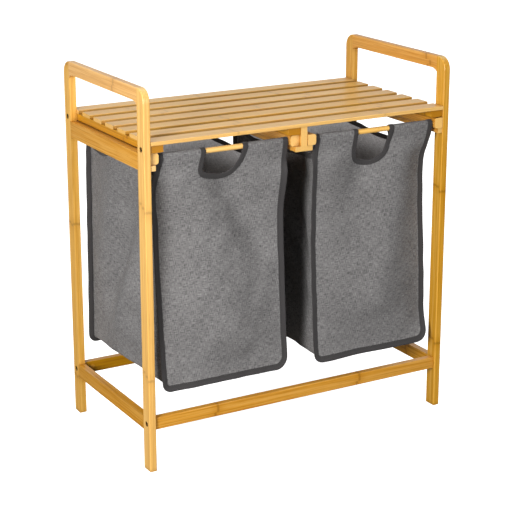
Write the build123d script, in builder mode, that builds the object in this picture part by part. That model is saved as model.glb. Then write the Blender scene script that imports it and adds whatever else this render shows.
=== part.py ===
"""Two-bag laundry sorter: a bamboo stand with a slatted top and two fabric bags that pull out on rails.

Origin: on the floor, at the middle of the stand's plan. +Z is up, the front (where the bags
pull out) faces -Y, and +X is to the right as seen from the front. Millimetres.
"""
import os

from build123d import *

# --- Driving dimensions -------------------------------------------------------------------
width = 640.0
depth = 340.0
height = 700.0

post_thickness = 13.5            # along X
post_depth = 25.0                # along Y
post_corner_radius = 24.0        # outer top corner of each side frame
edge_round = 2.0

handle_height = 24.0
handle_haunch = 6.0              # the underside dips this far where it meets the posts
handle_haunch_length = 16.0

upper_rail_bottom = 556.5
upper_rail_height = 30.0
lower_rail_bottom = 76.0
lower_rail_height = 25.0

cross_rail_bottom = 78.0         # front and back rails between the side frames
cross_rail_height = 23.0
cross_rail_thickness = 13.5
cross_rail_setback = 5.0

slat_count = 7
slat_width = 34.0
slat_thickness = 7.0
shelf_bottom = 601.0
slat_edge_round = 1.2

batten_width = 25.0
batten_height = 13.0
batten_setback = 3.0

runner_setback = 2.0
ledge_width = 9.5
ledge_height = 9.5
web_thickness = 13.4
foot_width = 36.0

# The bags: hardware
bar_width = 17.5
bar_height = 20.0
bar_length = 320.0
bar_side_gap = 0.5               # between a bar and the rail beside it
bar_lift = 0.3                   # between a bar and the runner under it
bar_outer_round = 2.0
bar_inner_round = 5.0
dowel_radius = 5.0
dowel_inset = 12.0               # from a bar's end to the dowel's axis
dowel_tenon = 10.0
left_bag_setback = 8.0           # the left bag rests this far behind the front plane
right_bag_setback = 0.5

# The bags: fabric
fabric_thickness = 2.0
bag_half_width = 131.0
bag_bottom = 142.0
bag_corner_radius = 18.0
side_panel_top = 545.0
sleeve_outer_radius = 7.2
sleeve_inner_radius = 5.3
cutout_half_width = 38.0
cutout_depth = 54.0              # below the dowel's axis
binding_width = 11.0
binding_thickness = 0.8
binding_top = 562.0

# Fasteners
bolt_head_radius = 4.9
bolt_head_height = 5.0
bolt_radius = 3.0
bolt_recess = 1.0
bolt_socket_radius = 2.3
bolt_socket_depth = 3.0
bolt_hole_radius = 3.2
bolt_head_hole_radius = 5.1
rail_bolt_length = 40.0
batten_bolt_length = 26.0
barrel_nut_radius = 4.9
barrel_nut_length = 10.0
barrel_nut_inset = 18.0          # from the rail's end to the nut's axis
insert_radius = 3.95
insert_length = 13.0
pin_radius = 3.0                 # glued wooden pins between rails and posts
pin_in_post = 7.0
pin_in_rail = 15.0
screw_radius = 1.6
screw_head_radius = 3.3
screw_head_height = 1.9
slat_screw_length = 17.5
slat_screw_offset = 8.0          # towards the middle of the shelf, clear of the bolts
runner_screw_length = 20.0
ledge_screw_length = 17.0
screw_spacing = 110.0
hole_clearance = 0.1

# --- Derived dimensions -------------------------------------------------------------------
half_width = width / 2
half_depth = depth / 2
inner_x = half_width - post_thickness
inner_y = half_depth - post_depth
post_middle_x = half_width - post_thickness / 2
bolt_y = half_depth - post_depth / 2
slat_pitch = (depth - slat_width) / (slat_count - 1)
slat_length = 2 * inner_x
batten_bottom = shelf_bottom - batten_height
batten_length = depth - 2 * batten_setback
end_batten_x = inner_x - batten_width / 2
middle_batten_x = -(web_thickness + batten_width) / 2
upper_bolt_z = batten_bottom + batten_height / 2
lower_bolt_z = cross_rail_bottom + cross_rail_height / 2
handle_bottom = height - handle_height
upper_rail_middle = upper_rail_bottom + upper_rail_height / 2
lower_rail_middle = lower_rail_bottom + lower_rail_height / 2
pin_heights = (handle_bottom + handle_height / 2, upper_rail_middle, lower_rail_middle)
cross_rail_y = half_depth - cross_rail_setback - cross_rail_thickness / 2
runner_length = depth - 2 * runner_setback
runner_top = upper_rail_bottom + ledge_height
web_height = shelf_bottom - runner_top
screw_rows = (-screw_spacing, 0.0, screw_spacing)
bay_half_width = (inner_x - web_thickness / 2) / 2
bay_middle_x = (inner_x + web_thickness / 2) / 2
bar_bottom = runner_top + bar_lift
bar_middle_z = bar_bottom + bar_height / 2
bar_outer_x = bay_half_width - bar_side_gap
bar_inner_x = bar_outer_x - bar_width

os.makedirs("parts", exist_ok=True)


def save(part, name):
    """Label a finished piece and write it as its own STEP file."""
    part.label = name
    export_step(part, f"parts/{name}.step")


def block(x_middle, y_middle, z_bottom, x_size, y_size, z_size):
    """Add a plain bar to the current part, placed by the middle of its plan and its underside."""
    with Locations((x_middle, y_middle, z_bottom)):
        Box(x_size, y_size, z_size, align=(Align.CENTER, Align.CENTER, Align.MIN))


def x_plane(x, y, z, side):
    """A plane whose normal points along +X or -X."""
    return Plane(origin=(x, y, z), x_dir=(0, 1, 0), z_dir=(side, 0, 0))


def y_plane(x, y, z, end):
    """A plane whose normal points along +Y or -Y."""
    return Plane(origin=(x, y, z), x_dir=(1, 0, 0), z_dir=(0, end, 0))


def down_plane(x, y, z):
    """A plane whose normal points straight down."""
    return Plane(origin=(x, y, z), x_dir=(1, 0, 0), z_dir=(0, 0, -1))


# --- Stand: posts, handle bars and rails ----------------------------------------------------
def make_post(name, side, end):
    """A full-height post; side is -1 for left, +1 for right, end is -1 for front, +1 for back."""
    outer_y = end * half_depth
    inner_face_y = end * inner_y
    arc_centre = (outer_y - end * post_corner_radius, height - post_corner_radius)
    with BuildPart() as post:
        with BuildSketch(Plane.YZ.offset(side * half_width)):
            with BuildLine():
                Polyline((outer_y, arc_centre[1]), (outer_y, 0), (inner_face_y, 0),
                         (inner_face_y, height), (arc_centre[0], height))
                arc_middle = (arc_centre[0] + end * post_corner_radius * 0.5 ** 0.5,
                              arc_centre[1] + post_corner_radius * 0.5 ** 0.5)
                ThreePointArc((arc_centre[0], height), arc_middle, (outer_y, arc_centre[1]))
            make_face()
        extrude(amount=-side * post_thickness)
        rounded = post.edges().filter_by(Axis.Z).sort_by(Axis.Y)
        outer_pair = rounded[-2:] if end > 0 else rounded[:2]
        fillet(outer_pair + post.edges().filter_by(GeomType.CIRCLE), edge_round)
        for bolt_z in (lower_bolt_z, upper_bolt_z):
            with Locations(x_plane(side * half_width, end * bolt_y, bolt_z, side)):
                CounterBoreHole(bolt_hole_radius, bolt_head_hole_radius, bolt_head_height + bolt_recess)
        for pin_z in pin_heights:
            with Locations(y_plane(side * post_middle_x, inner_face_y, pin_z, -end)):
                Hole(pin_radius + hole_clearance, depth=pin_in_post + hole_clearance)
    save(post.part, name)


def make_side_rail(name, side, bottom, rail_height):
    """A rail between the front and back posts, flush with their outer faces."""
    with BuildPart() as rail:
        block(side * post_middle_x, 0, bottom, post_thickness, 2 * inner_y, rail_height)
        for end in (-1, 1):
            with Locations(y_plane(side * post_middle_x, end * inner_y, bottom + rail_height / 2, end)):
                Hole(pin_radius + hole_clearance, depth=pin_in_rail + hole_clearance)
        if bottom == upper_rail_bottom:
            for row_y in screw_rows:
                with Locations(x_plane(side * inner_x, row_y, bottom + ledge_height / 2, -side)):
                    Hole(screw_radius + hole_clearance, depth=ledge_screw_length - ledge_width)
    save(rail.part, name)


def make_handle_bar(name, side):
    """The top bar of a side frame, its underside easing down into both posts."""
    haunch_y = inner_y - handle_haunch_length
    with BuildPart() as bar:
        with BuildSketch(Plane.YZ.offset(side * half_width)):
            with BuildLine():
                Polyline((-inner_y, handle_bottom - handle_haunch), (-inner_y, height),
                         (inner_y, height), (inner_y, handle_bottom - handle_haunch))
                TangentArc((haunch_y, handle_bottom), (inner_y, handle_bottom - handle_haunch),
                           tangent=(1, 0))
                Line((haunch_y, handle_bottom), (-haunch_y, handle_bottom))
                TangentArc((-haunch_y, handle_bottom), (-inner_y, handle_bottom - handle_haunch),
                           tangent=(-1, 0))
            make_face()
        extrude(amount=-side * post_thickness)
        fillet(bar.edges().filter_by(Axis.Y).group_by(Axis.Z)[-1], edge_round)
        for end in (-1, 1):
            with Locations(y_plane(side * post_middle_x, end * inner_y, pin_heights[0], end)):
                Hole(pin_radius + hole_clearance, depth=pin_in_rail + hole_clearance)
    save(bar.part, name)


def make_cross_rail(name, end):
    """The lower front or back rail, bolted between the side frames."""
    inner_face_y = end * (cross_rail_y - cross_rail_thickness / 2)
    with BuildPart() as rail:
        block(0, end * cross_rail_y, cross_rail_bottom, slat_length, cross_rail_thickness,
              cross_rail_height)
        fillet(rail.edges().filter_by(Axis.X), slat_edge_round)
        for side in (-1, 1):
            with Locations(x_plane(side * inner_x, end * bolt_y, lower_bolt_z, side)):
                Hole(bolt_hole_radius, depth=rail_bolt_length)
            with Locations(y_plane(side * (inner_x - barrel_nut_inset), inner_face_y, lower_bolt_z, -end)):
                Hole(barrel_nut_radius + hole_clearance, depth=barrel_nut_length + hole_clearance)
    save(rail.part, name)


make_post("post_front_left", -1, -1)
make_post("post_back_left", -1, 1)
make_post("post_front_right", 1, -1)
make_post("post_back_right", 1, 1)
for side_name, side in (("left", -1), ("right", 1)):
    make_handle_bar(f"handle_bar_{side_name}", side)
    make_side_rail(f"upper_side_rail_{side_name}", side, upper_rail_bottom, upper_rail_height)
    make_side_rail(f"lower_side_rail_{side_name}", side, lower_rail_bottom, lower_rail_height)
make_cross_rail("lower_rail_front", -1)
make_cross_rail("lower_rail_back", 1)


# --- Shelf: slats on three battens ------------------------------------------------------------
def slat_y(index):
    """The middle of a slat, counted from the front."""
    return -half_depth + slat_width / 2 + index * slat_pitch


def slat_screw_y(index):
    """A slat's screws stand off its middle, towards the middle of the shelf."""
    middle = slat_y(index)
    if index == slat_count // 2:
        return middle
    return middle - slat_screw_offset if middle > 0 else middle + slat_screw_offset


batten_middles = (-end_batten_x, middle_batten_x, end_batten_x)

for index in range(slat_count):
    with BuildPart() as slat:
        block(0, slat_y(index), shelf_bottom, slat_length, slat_width, slat_thickness)
        fillet(slat.edges().filter_by(Axis.X), slat_edge_round)
        for batten_x in batten_middles:
            with Locations(down_plane(batten_x, slat_screw_y(index), shelf_bottom)):
                Hole(screw_radius + hole_clearance, depth=slat_screw_length - batten_height + hole_clearance)
    save(slat.part, f"shelf_slat_{index + 1}")


def make_batten(name, middle_x, side):
    """A batten under the slats; an end batten (side not 0) also takes the frame bolts."""
    with BuildPart() as batten:
        block(middle_x, 0, batten_bottom, batten_width, batten_length, batten_height)
        fillet(batten.edges().filter_by(Axis.Y).group_by(Axis.Z)[0], slat_edge_round)
        for slat_index in range(slat_count):
            with Locations(down_plane(middle_x, slat_screw_y(slat_index), batten_bottom)):
                CounterSinkHole(screw_radius + hole_clearance, screw_head_radius + 2 * hole_clearance,
                                depth=batten_height)
        if side:
            for end in (-1, 1):
                with Locations(x_plane(side * inner_x, end * bolt_y, upper_bolt_z, side)):
                    Hole(insert_radius + hole_clearance, depth=batten_bolt_length - post_thickness
                         + bolt_head_height + bolt_recess)
        else:
            for row_y in screw_rows:
                with Locations(x_plane(-web_thickness / 2, row_y + slat_pitch / 2, upper_bolt_z, 1)):
                    Hole(screw_radius + hole_clearance, depth=runner_screw_length - web_thickness)
    save(batten.part, name)


make_batten("shelf_batten_left", -end_batten_x, -1)
make_batten("shelf_batten_middle", middle_batten_x, 0)
make_batten("shelf_batten_right", end_batten_x, 1)


# --- Runners: a ledge on each side and an inverted T in the middle ----------------------------
def make_ledge(name, side):
    """The strip along the inside of an upper side rail that one bar of a bag slides on."""
    with BuildPart() as ledge:
        block(side * (inner_x - ledge_width / 2), 0, upper_rail_bottom, ledge_width, runner_length,
              ledge_height)
        for row_y in screw_rows:
            with Locations(x_plane(side * (inner_x - ledge_width), row_y,
                                   upper_rail_bottom + ledge_height / 2, -side)):
                CounterSinkHole(screw_radius + hole_clearance, screw_head_radius + 2 * hole_clearance,
                                depth=ledge_width)
    save(ledge.part, name)


make_ledge("runner_ledge_left", -1)
make_ledge("runner_ledge_right", 1)

with BuildPart() as runner_web:
    block(0, 0, runner_top, web_thickness, runner_length, web_height)
    for row_y in screw_rows:
        with Locations(x_plane(web_thickness / 2, row_y + slat_pitch / 2, upper_bolt_z, 1)):
            CounterSinkHole(screw_radius + hole_clearance, screw_head_radius + 2 * hole_clearance,
                            depth=web_thickness)
        with Locations(down_plane(0, row_y, runner_top)):
            Hole(screw_radius + hole_clearance, depth=runner_screw_length - ledge_height)
save(runner_web.part, "runner_centre_web")

with BuildPart() as runner_foot:
    block(0, 0, upper_rail_bottom, foot_width, runner_length, ledge_height)
    fillet(runner_foot.edges().filter_by(Axis.Y), slat_edge_round)
    for row_y in screw_rows:
        with Locations(down_plane(0, row_y, upper_rail_bottom)):
            CounterSinkHole(screw_radius + hole_clearance, screw_head_radius + 2 * hole_clearance,
                            depth=ledge_height)
save(runner_foot.part, "runner_centre_foot")


# --- Fasteners ---------------------------------------------------------------------------------
BELOW = (Align.CENTER, Align.CENTER, Align.MAX)     # a solid that hangs under its plane
corners = [(side, end) for side in (-1, 1) for end in (-1, 1)]


def screw(plane, length):
    """Add a countersunk wood screw whose head face lies just inside the plane."""
    seat = plane.offset(-hole_clearance)
    with Locations(seat):
        Cone(screw_radius, screw_head_radius, screw_head_height, align=BELOW)
        Cylinder(screw_radius, length - 2 * hole_clearance, align=BELOW)


with BuildPart() as frame_bolts:
    for side, end in corners:
        for bolt_z, length in ((lower_bolt_z, rail_bolt_length), (upper_bolt_z, batten_bolt_length)):
            head_plane = x_plane(side * (half_width - bolt_recess), end * bolt_y, bolt_z, side)
            with Locations(head_plane):
                Cylinder(bolt_head_radius, bolt_head_height, align=BELOW)
                Cylinder(bolt_radius, length, align=BELOW)
            with BuildSketch(head_plane):
                RegularPolygon(bolt_socket_radius, 6)
            extrude(amount=-bolt_socket_depth, mode=Mode.SUBTRACT)
save(frame_bolts.part, "frame_bolts")

with BuildPart() as barrel_nuts:
    for side, end in corners:
        nut_x = side * (inner_x - barrel_nut_inset)
        with Locations(y_plane(nut_x, end * (cross_rail_y - cross_rail_thickness / 2), lower_bolt_z, -end)):
            Cylinder(barrel_nut_radius, barrel_nut_length, align=BELOW)
        with Locations(x_plane(nut_x, end * bolt_y, lower_bolt_z, side)):
            Cylinder(bolt_radius + hole_clearance, 2 * barrel_nut_radius, mode=Mode.SUBTRACT)
save(barrel_nuts.part, "barrel_nuts")

with BuildPart() as threaded_inserts:
    for side, end in corners:
        with Locations(x_plane(side * inner_x, end * bolt_y, upper_bolt_z, side)):
            Cylinder(insert_radius, insert_length, align=BELOW)
            Cylinder(bolt_radius + hole_clearance, insert_length, align=BELOW, mode=Mode.SUBTRACT)
save(threaded_inserts.part, "threaded_inserts")

with BuildPart() as side_frame_pins:
    for side, end in corners:
        for pin_z in pin_heights:
            joint_plane = y_plane(side * post_middle_x, end * inner_y, pin_z, end)
            with Locations(joint_plane.offset(pin_in_post)):
                Cylinder(pin_radius, pin_in_post + pin_in_rail, align=BELOW)
save(side_frame_pins.part, "side_frame_pins")

with BuildPart() as slat_screws:
    for index in range(slat_count):
        for batten_x in batten_middles:
            screw(down_plane(batten_x, slat_screw_y(index), batten_bottom), slat_screw_length)
save(slat_screws.part, "slat_screws")

with BuildPart() as runner_screws:
    for row_y in screw_rows:
        screw(down_plane(0, row_y, upper_rail_bottom), runner_screw_length)
        screw(x_plane(web_thickness / 2, row_y + slat_pitch / 2, upper_bolt_z, 1), runner_screw_length)
        for side in (-1, 1):
            screw(x_plane(side * (inner_x - ledge_width), row_y,
                          upper_rail_bottom + ledge_height / 2, -side), ledge_screw_length)
save(runner_screws.part, "runner_screws")


# --- Bags ------------------------------------------------------------------------------------------
def make_bag_bar(name, middle_x, side, front_y):
    """A side bar of a bag; side points from the bag's middle to the bar."""
    bar_x = middle_x + side * (bar_inner_x + bar_outer_x) / 2
    with BuildPart() as bar:
        block(bar_x, front_y + bar_length / 2, bar_bottom, bar_width, bar_length, bar_height)
        long_edges = bar.edges().filter_by(Axis.Y).group_by(Axis.X)
        inner_edges, outer_edges = (long_edges[0], long_edges[-1])[::side]
        fillet(inner_edges, bar_inner_round)
        fillet(outer_edges, bar_outer_round)
        for dowel_y in (front_y + dowel_inset, front_y + bar_length - dowel_inset):
            with Locations(x_plane(middle_x + side * bar_inner_x, dowel_y, bar_middle_z, -side)):
                Hole(dowel_radius + hole_clearance, depth=dowel_tenon + hole_clearance)
    save(bar.part, name)


def make_dowel(name, middle_x, dowel_y):
    """A round rod between the two bars of a bag."""
    with BuildPart() as dowel:
        with BuildSketch(Plane.YZ.offset(middle_x)):
            with Locations((dowel_y, bar_middle_z)):
                Circle(dowel_radius)
        extrude(amount=bar_inner_x + dowel_tenon, both=True)
    save(dowel.part, name)


def draw_bag_outline(half_span, bottom, top, radius, mode=Mode.ADD):
    """Draw a panel's outline in the current sketch: straight top, rounded bottom corners."""
    with BuildLine() as outline:
        Polyline((-half_span, bottom + radius), (-half_span, top), (half_span, top),
                 (half_span, bottom + radius))
        RadiusArc((half_span, bottom + radius), (half_span - radius, bottom), radius)
        Line((half_span - radius, bottom), (radius - half_span, bottom))
        RadiusArc((radius - half_span, bottom), (-half_span, bottom + radius), radius)
    make_face(outline.edges(), mode=mode)


def draw_cutout(half_span, depth_below, mode=Mode.ADD):
    """Draw the U-shaped opening under the dowel in the current sketch; its top runs past the panel."""
    round_z = bar_middle_z - depth_below + half_span
    with Locations((0, round_z)):
        Circle(half_span, mode=mode)
        Rectangle(2 * half_span, 4 * bar_height, align=(Align.CENTER, Align.MIN), mode=mode)


def upright_plane(middle_x, y):
    """Sketch X runs to the right and sketch Y runs up; the normal points to the front."""
    return Plane(origin=(middle_x, y, 0), x_dir=(1, 0, 0), z_dir=(0, -1, 0))


def make_end_panel(name, middle_x, dowel_y, end, has_cutout):
    """The front or back panel, hanging from the fabric sleeve around its dowel."""
    outer_face_y = dowel_y + end * sleeve_outer_radius
    inner_face_y = outer_face_y - end * fabric_thickness
    with BuildPart() as panel:
        with BuildSketch(upright_plane(middle_x, max(outer_face_y, inner_face_y))):
            draw_bag_outline(bag_half_width, bag_bottom, bar_middle_z, bag_corner_radius)
        extrude(amount=fabric_thickness)
        with BuildSketch(Plane.YZ.offset(middle_x)):
            with Locations((dowel_y, bar_middle_z)):
                Circle(sleeve_outer_radius)
        extrude(amount=bag_half_width, both=True)
        with BuildSketch(Plane.YZ.offset(middle_x)):
            with Locations((dowel_y, bar_middle_z)):
                Circle(sleeve_inner_radius)
        extrude(amount=bag_half_width, both=True, mode=Mode.SUBTRACT)
        if has_cutout:
            with BuildSketch(upright_plane(middle_x, dowel_y)):
                draw_cutout(cutout_half_width, cutout_depth)
            extrude(amount=2 * sleeve_outer_radius, both=True, mode=Mode.SUBTRACT)
    save(panel.part, name)


def make_binding(name, middle_x, face_y, end):
    """The dark tape down both sides and along the bottom of an end panel."""
    with BuildPart() as binding:
        with BuildSketch(upright_plane(middle_x, face_y)):
            draw_bag_outline(bag_half_width, bag_bottom, binding_top, bag_corner_radius)
            draw_bag_outline(bag_half_width - binding_width, bag_bottom + binding_width,
                             binding_top + binding_width, bag_corner_radius / 2, mode=Mode.SUBTRACT)
        extrude(amount=-end * binding_thickness)
    save(binding.part, name)


def make_cutout_binding(name, middle_x, face_y):
    """The dark tape round the U-shaped opening."""
    with BuildPart() as binding:
        with BuildSketch(upright_plane(middle_x, face_y)):
            draw_cutout(cutout_half_width + binding_width, cutout_depth + binding_width)
            draw_cutout(cutout_half_width, cutout_depth, mode=Mode.SUBTRACT)
            with Locations((0, binding_top)):
                Rectangle(bag_half_width, 6 * bar_height, align=(Align.CENTER, Align.MIN),
                          mode=Mode.SUBTRACT)
        extrude(amount=binding_thickness)
    save(binding.part, name)


def make_side_panel(name, middle_x, side, front_y, back_y):
    """A flat side of a bag, between the end panels; its top edge is free."""
    panel_x = middle_x + side * (bag_half_width - fabric_thickness / 2)
    bottom = bag_bottom + bag_corner_radius
    with BuildPart() as panel:
        block(panel_x, (front_y + back_y) / 2, bottom, fabric_thickness, back_y - front_y,
              side_panel_top - bottom)
    save(panel.part, name)


def make_bottom_panel(name, middle_x, front_y, back_y):
    """The floor of a bag, with its rounded edges turned up to meet the side panels."""
    rim = bag_bottom + bag_corner_radius
    with BuildPart() as panel:
        with BuildSketch(upright_plane(middle_x, back_y)):
            draw_bag_outline(bag_half_width, bag_bottom, side_panel_top, bag_corner_radius)
            draw_bag_outline(bag_half_width - fabric_thickness, bag_bottom + fabric_thickness,
                             side_panel_top, bag_corner_radius - fabric_thickness, mode=Mode.SUBTRACT)
            with Locations((0, rim)):
                Rectangle(2 * bag_half_width, side_panel_top, align=(Align.CENTER, Align.MIN),
                          mode=Mode.SUBTRACT)
        extrude(amount=back_y - front_y)
    save(panel.part, name)


def make_bag(name, middle_x, setback):
    """All the pieces of one bag, its bars' front ends at the given setback."""
    front_y = -half_depth + setback
    front_dowel_y = front_y + dowel_inset
    back_dowel_y = front_y + bar_length - dowel_inset
    panel_offset = sleeve_outer_radius
    front_face_y = front_dowel_y - panel_offset
    back_face_y = back_dowel_y + panel_offset
    cavity_front = front_face_y + fabric_thickness
    cavity_back = back_face_y - fabric_thickness
    make_bag_bar(f"{name}_bar_left", middle_x, -1, front_y)
    make_bag_bar(f"{name}_bar_right", middle_x, 1, front_y)
    make_dowel(f"{name}_front_dowel", middle_x, front_dowel_y)
    make_dowel(f"{name}_back_dowel", middle_x, back_dowel_y)
    make_end_panel(f"{name}_front_panel", middle_x, front_dowel_y, -1, True)
    make_end_panel(f"{name}_back_panel", middle_x, back_dowel_y, 1, False)
    make_binding(f"{name}_front_binding", middle_x, front_face_y, -1)
    make_binding(f"{name}_back_binding", middle_x, back_face_y, 1)
    make_cutout_binding(f"{name}_cutout_binding", middle_x, front_face_y)
    make_side_panel(f"{name}_side_panel_left", middle_x, -1, cavity_front, cavity_back)
    make_side_panel(f"{name}_side_panel_right", middle_x, 1, cavity_front, cavity_back)
    make_bottom_panel(f"{name}_bottom_panel", middle_x, cavity_front, cavity_back)


make_bag("bag_left", -bay_middle_x, left_bag_setback)
make_bag("bag_right", bay_middle_x, right_bag_setback)
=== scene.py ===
"""The looks of a two-bag bamboo laundry sorter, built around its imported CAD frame.

The stand, the bars and the dowels are the CAD's own pieces with a laminated bamboo finish.
Each bag is sewn here from its real parts: a front and a back panel that wrap over the dowels,
one gusset that runs down, across and up between them, and dark tape bound over every edge.
Lengths are in metres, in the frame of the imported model.
"""

import math
import random

import bpy
import numpy as np
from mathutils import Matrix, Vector
from mathutils.geometry import delaunay_2d_cdt


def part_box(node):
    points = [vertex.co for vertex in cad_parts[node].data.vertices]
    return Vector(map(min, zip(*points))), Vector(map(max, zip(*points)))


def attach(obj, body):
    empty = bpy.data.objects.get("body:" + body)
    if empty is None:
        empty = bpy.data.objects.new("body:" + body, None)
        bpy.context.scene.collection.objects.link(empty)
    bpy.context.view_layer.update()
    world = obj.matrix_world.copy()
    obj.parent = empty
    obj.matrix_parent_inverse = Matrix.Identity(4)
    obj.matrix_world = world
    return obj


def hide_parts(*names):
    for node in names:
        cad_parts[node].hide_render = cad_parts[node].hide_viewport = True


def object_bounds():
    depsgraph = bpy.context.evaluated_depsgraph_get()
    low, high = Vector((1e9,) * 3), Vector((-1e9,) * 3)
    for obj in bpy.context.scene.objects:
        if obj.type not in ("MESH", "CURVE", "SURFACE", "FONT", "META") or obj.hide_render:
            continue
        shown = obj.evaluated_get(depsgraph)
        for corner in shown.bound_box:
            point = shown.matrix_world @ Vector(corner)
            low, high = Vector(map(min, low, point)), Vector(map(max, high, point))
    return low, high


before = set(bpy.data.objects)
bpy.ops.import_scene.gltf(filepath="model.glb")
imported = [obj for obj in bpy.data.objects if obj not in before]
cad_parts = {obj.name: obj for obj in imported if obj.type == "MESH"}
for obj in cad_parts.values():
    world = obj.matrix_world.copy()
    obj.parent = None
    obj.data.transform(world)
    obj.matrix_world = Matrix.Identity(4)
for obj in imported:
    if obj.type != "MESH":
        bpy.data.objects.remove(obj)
cad_low, cad_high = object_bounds()

MM = 0.001

# ---------------------------------------------------------------- camera
# Fitted to the photograph's view of the legs, rails and shelf.
LENS = 108.06
SHIFT_Y = -0.0505
CAMERA_AT = (-1.4230, -2.4810, 1.2000)
CAMERA_YAW = math.radians(29.83)
CAMERA_PITCH = math.radians(16.31)

# ---------------------------------------------------------------- cloth sizes
CLOTH = 0.9 * MM  # the fabric's thickness
TAPE_WIDTH = 9.5 * MM  # on the outer face of an end panel
EDGE_TAPE = 8.5 * MM  # round the cut-out and along the gusset's free edges
FIN = 8.0 * MM  # an end panel's bound edge stands out this far past its seam with the gusset
FIN_LEAN = 0.42  # and leans outwards by this share of that
TAPE_THICK = 0.6 * MM
TAPE_LIFT = 0.85 * MM  # from the middle of the cloth to the middle of the tape
RIDGE = 1.2 * MM  # how far a bound edge stands past the cloth's own edge
PANEL_HALF = 129.4 * MM
PANEL_CORNERS = (15.0 * MM, 24.0 * MM)  # lower left, lower right
SLEEVE_GAP = 0.75 * MM  # from the dowel to the middle of the cloth round it
SEAM_DROP = 15.0 * MM  # the sleeve's seam below the dowel's axis
FLAP = 9.0 * MM  # the turned edge below that seam
RIM_DROP = {-1: 31.0 * MM, 1: 34.0 * MM}  # the gusset's top corners below each dowel's axis
PANEL_BOTTOM = 0.143  # the lowest edge of the end panels
FLOOR_SAG = 4.0 * MM  # the bottom of a bag, at its middle
FLOOR_HALF = 0.14  # from there to where it doesn't sag
FOLDS_START = 45.0 * MM  # a panel's folds grow to full size this far below the sleeve's seam
LEAN_START = 25.0 * MM  # a bound edge leans fully this far below the gusset's top edge
FOLD_FADE = 60.0 * MM  # a fold grows and fades within this at its ends
FOLD_Z = 0.40  # the height where the slanting folds of a gusset have their given place
TAPE_REACH = np.array([1.0, 0.86, 0.55, 0.25, 0.06])  # a tape's rows, as shares of its width

# ---------------------------------------------------------------- stitches
SLEEVE_STITCH = 2.0 * MM  # the stitches below the sleeve's seam
STITCH_INSET = 1.6 * MM  # from a tape's inner edge to its stitches
STITCH_PITCH = 4.0 * MM
STITCH_STOPS = np.array([-0.36, -0.22, 0.0, 0.22, 0.36])  # points of one, as shares of the pitch
STITCH_RISE = np.array([-0.45, 0.1, 0.25, 0.1, -0.45]) * MM  # off the cloth, at those points
THREAD_RADIUS = 0.28 * MM
THREAD_SIDES = 5

# ---------------------------------------------------------------- mesh sizes
CLOTH_STEP = 4.5 * MM
GUSSET_STEP = 5.0 * MM
SLEEVE_STEP = 1.6 * MM
EDGE_STEP = 4.0 * MM
CUT_STEP = 3.0 * MM  # the cloth along the cut-out
HOLE_STEP = 2.5 * MM  # the tape along it
FINE_STEP = 1.0 * MM
GRID_INSET = 2.5 * MM  # the inner points of a cloth start this far from its edges
EDGE_CLEAR = 1.4 * MM  # and stay this far from them
CORNER_CUTS = 3
SMOOTHED = 7  # points in the running mean of a panel's profile


# ================================================================ small tools
def through(*pairs):
    """A smooth function through these (place, value) pairs, level outside them."""
    x, y = np.array(sorted(pairs), float).T
    slope = np.gradient(y, x)
    slope[0] = slope[-1] = 0.0

    def value(at):
        at = np.clip(np.asarray(at, float), x[0], x[-1])
        i = np.clip(np.searchsorted(x, at) - 1, 0, len(x) - 2)
        h = x[i + 1] - x[i]
        t = (at - x[i]) / h
        return (
            (2 * t**3 - 3 * t**2 + 1) * y[i]
            + (t**3 - 2 * t**2 + t) * h * slope[i]
            + (3 * t**2 - 2 * t**3) * y[i + 1]
            + (t**3 - t**2) * h * slope[i + 1]
        )

    return value


def smooth(t):
    t = np.clip(t, 0, 1)
    return t * t * (3 - 2 * t)


def bell(x, middle, width):
    return np.exp(-(((x - middle) / width) ** 2))


def ripple(u, v, seed, size, count=7):
    """Gentle unevenness of about one, from a few waves of that size in random directions."""
    draw = np.random.default_rng(seed)
    total = np.zeros(np.broadcast(u, v).shape)
    for _ in range(count):
        turn, phase = draw.uniform(0, 2 * math.pi, 2)
        wave = size * draw.uniform(0.7, 1.6)
        total += np.sin(
            2 * math.pi * (u * math.cos(turn) + v * math.sin(turn)) / wave + phase
        )
    return total / math.sqrt(count / 2)


def along(points):
    """The distance along a line of points, at each of them."""
    steps = np.linalg.norm(np.diff(points, axis=0), axis=1)
    return np.concatenate([[0], np.cumsum(steps)])


def respaced(points, step):
    """The line again, with points evenly about step apart."""
    length = along(points)
    at = np.linspace(0, length[-1], max(2, round(length[-1] / step) + 1))
    return np.stack(
        [np.interp(at, length, points[:, k]) for k in range(points.shape[1])], axis=1
    )


def rounded(points):
    """An open line of points with its corners cut round, ends kept."""
    for _ in range(CORNER_CUTS):
        a, b = points[:-1], points[1:]
        inner = np.stack([0.75 * a + 0.25 * b, 0.25 * a + 0.75 * b], axis=1)
        points = np.concatenate([points[:1], inner.reshape(-1, points.shape[1]), points[-1:]])
    return points


def unit(v):
    return v / np.maximum(np.linalg.norm(v, axis=-1, keepdims=True), 1e-12)


def make_mesh(name, points, faces, flat, material):
    """A mesh object with its flat cloth coordinates, in metres, in the UV map."""
    mesh = bpy.data.meshes.new(name)
    mesh.from_pydata([tuple(p) for p in points], [], [tuple(f) for f in faces])
    layer = mesh.uv_layers.new(name="cloth")
    index = np.zeros(len(mesh.loops), np.int32)
    mesh.loops.foreach_get("vertex_index", index)
    layer.data.foreach_set("uv", np.asarray(flat, np.float32)[index].ravel())
    mesh.polygons.foreach_set("use_smooth", np.ones(len(mesh.polygons), bool))
    mesh.update()
    piece = bpy.data.objects.new(name, mesh)
    bpy.context.scene.collection.objects.link(piece)
    piece.data.materials.append(material)
    return piece


def grid_faces(rows, columns):
    i = np.arange(rows * columns).reshape(rows, columns)
    return np.stack(
        [i[:-1, :-1], i[1:, :-1], i[1:, 1:], i[:-1, 1:]], axis=-1
    ).reshape(-1, 4)


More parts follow.
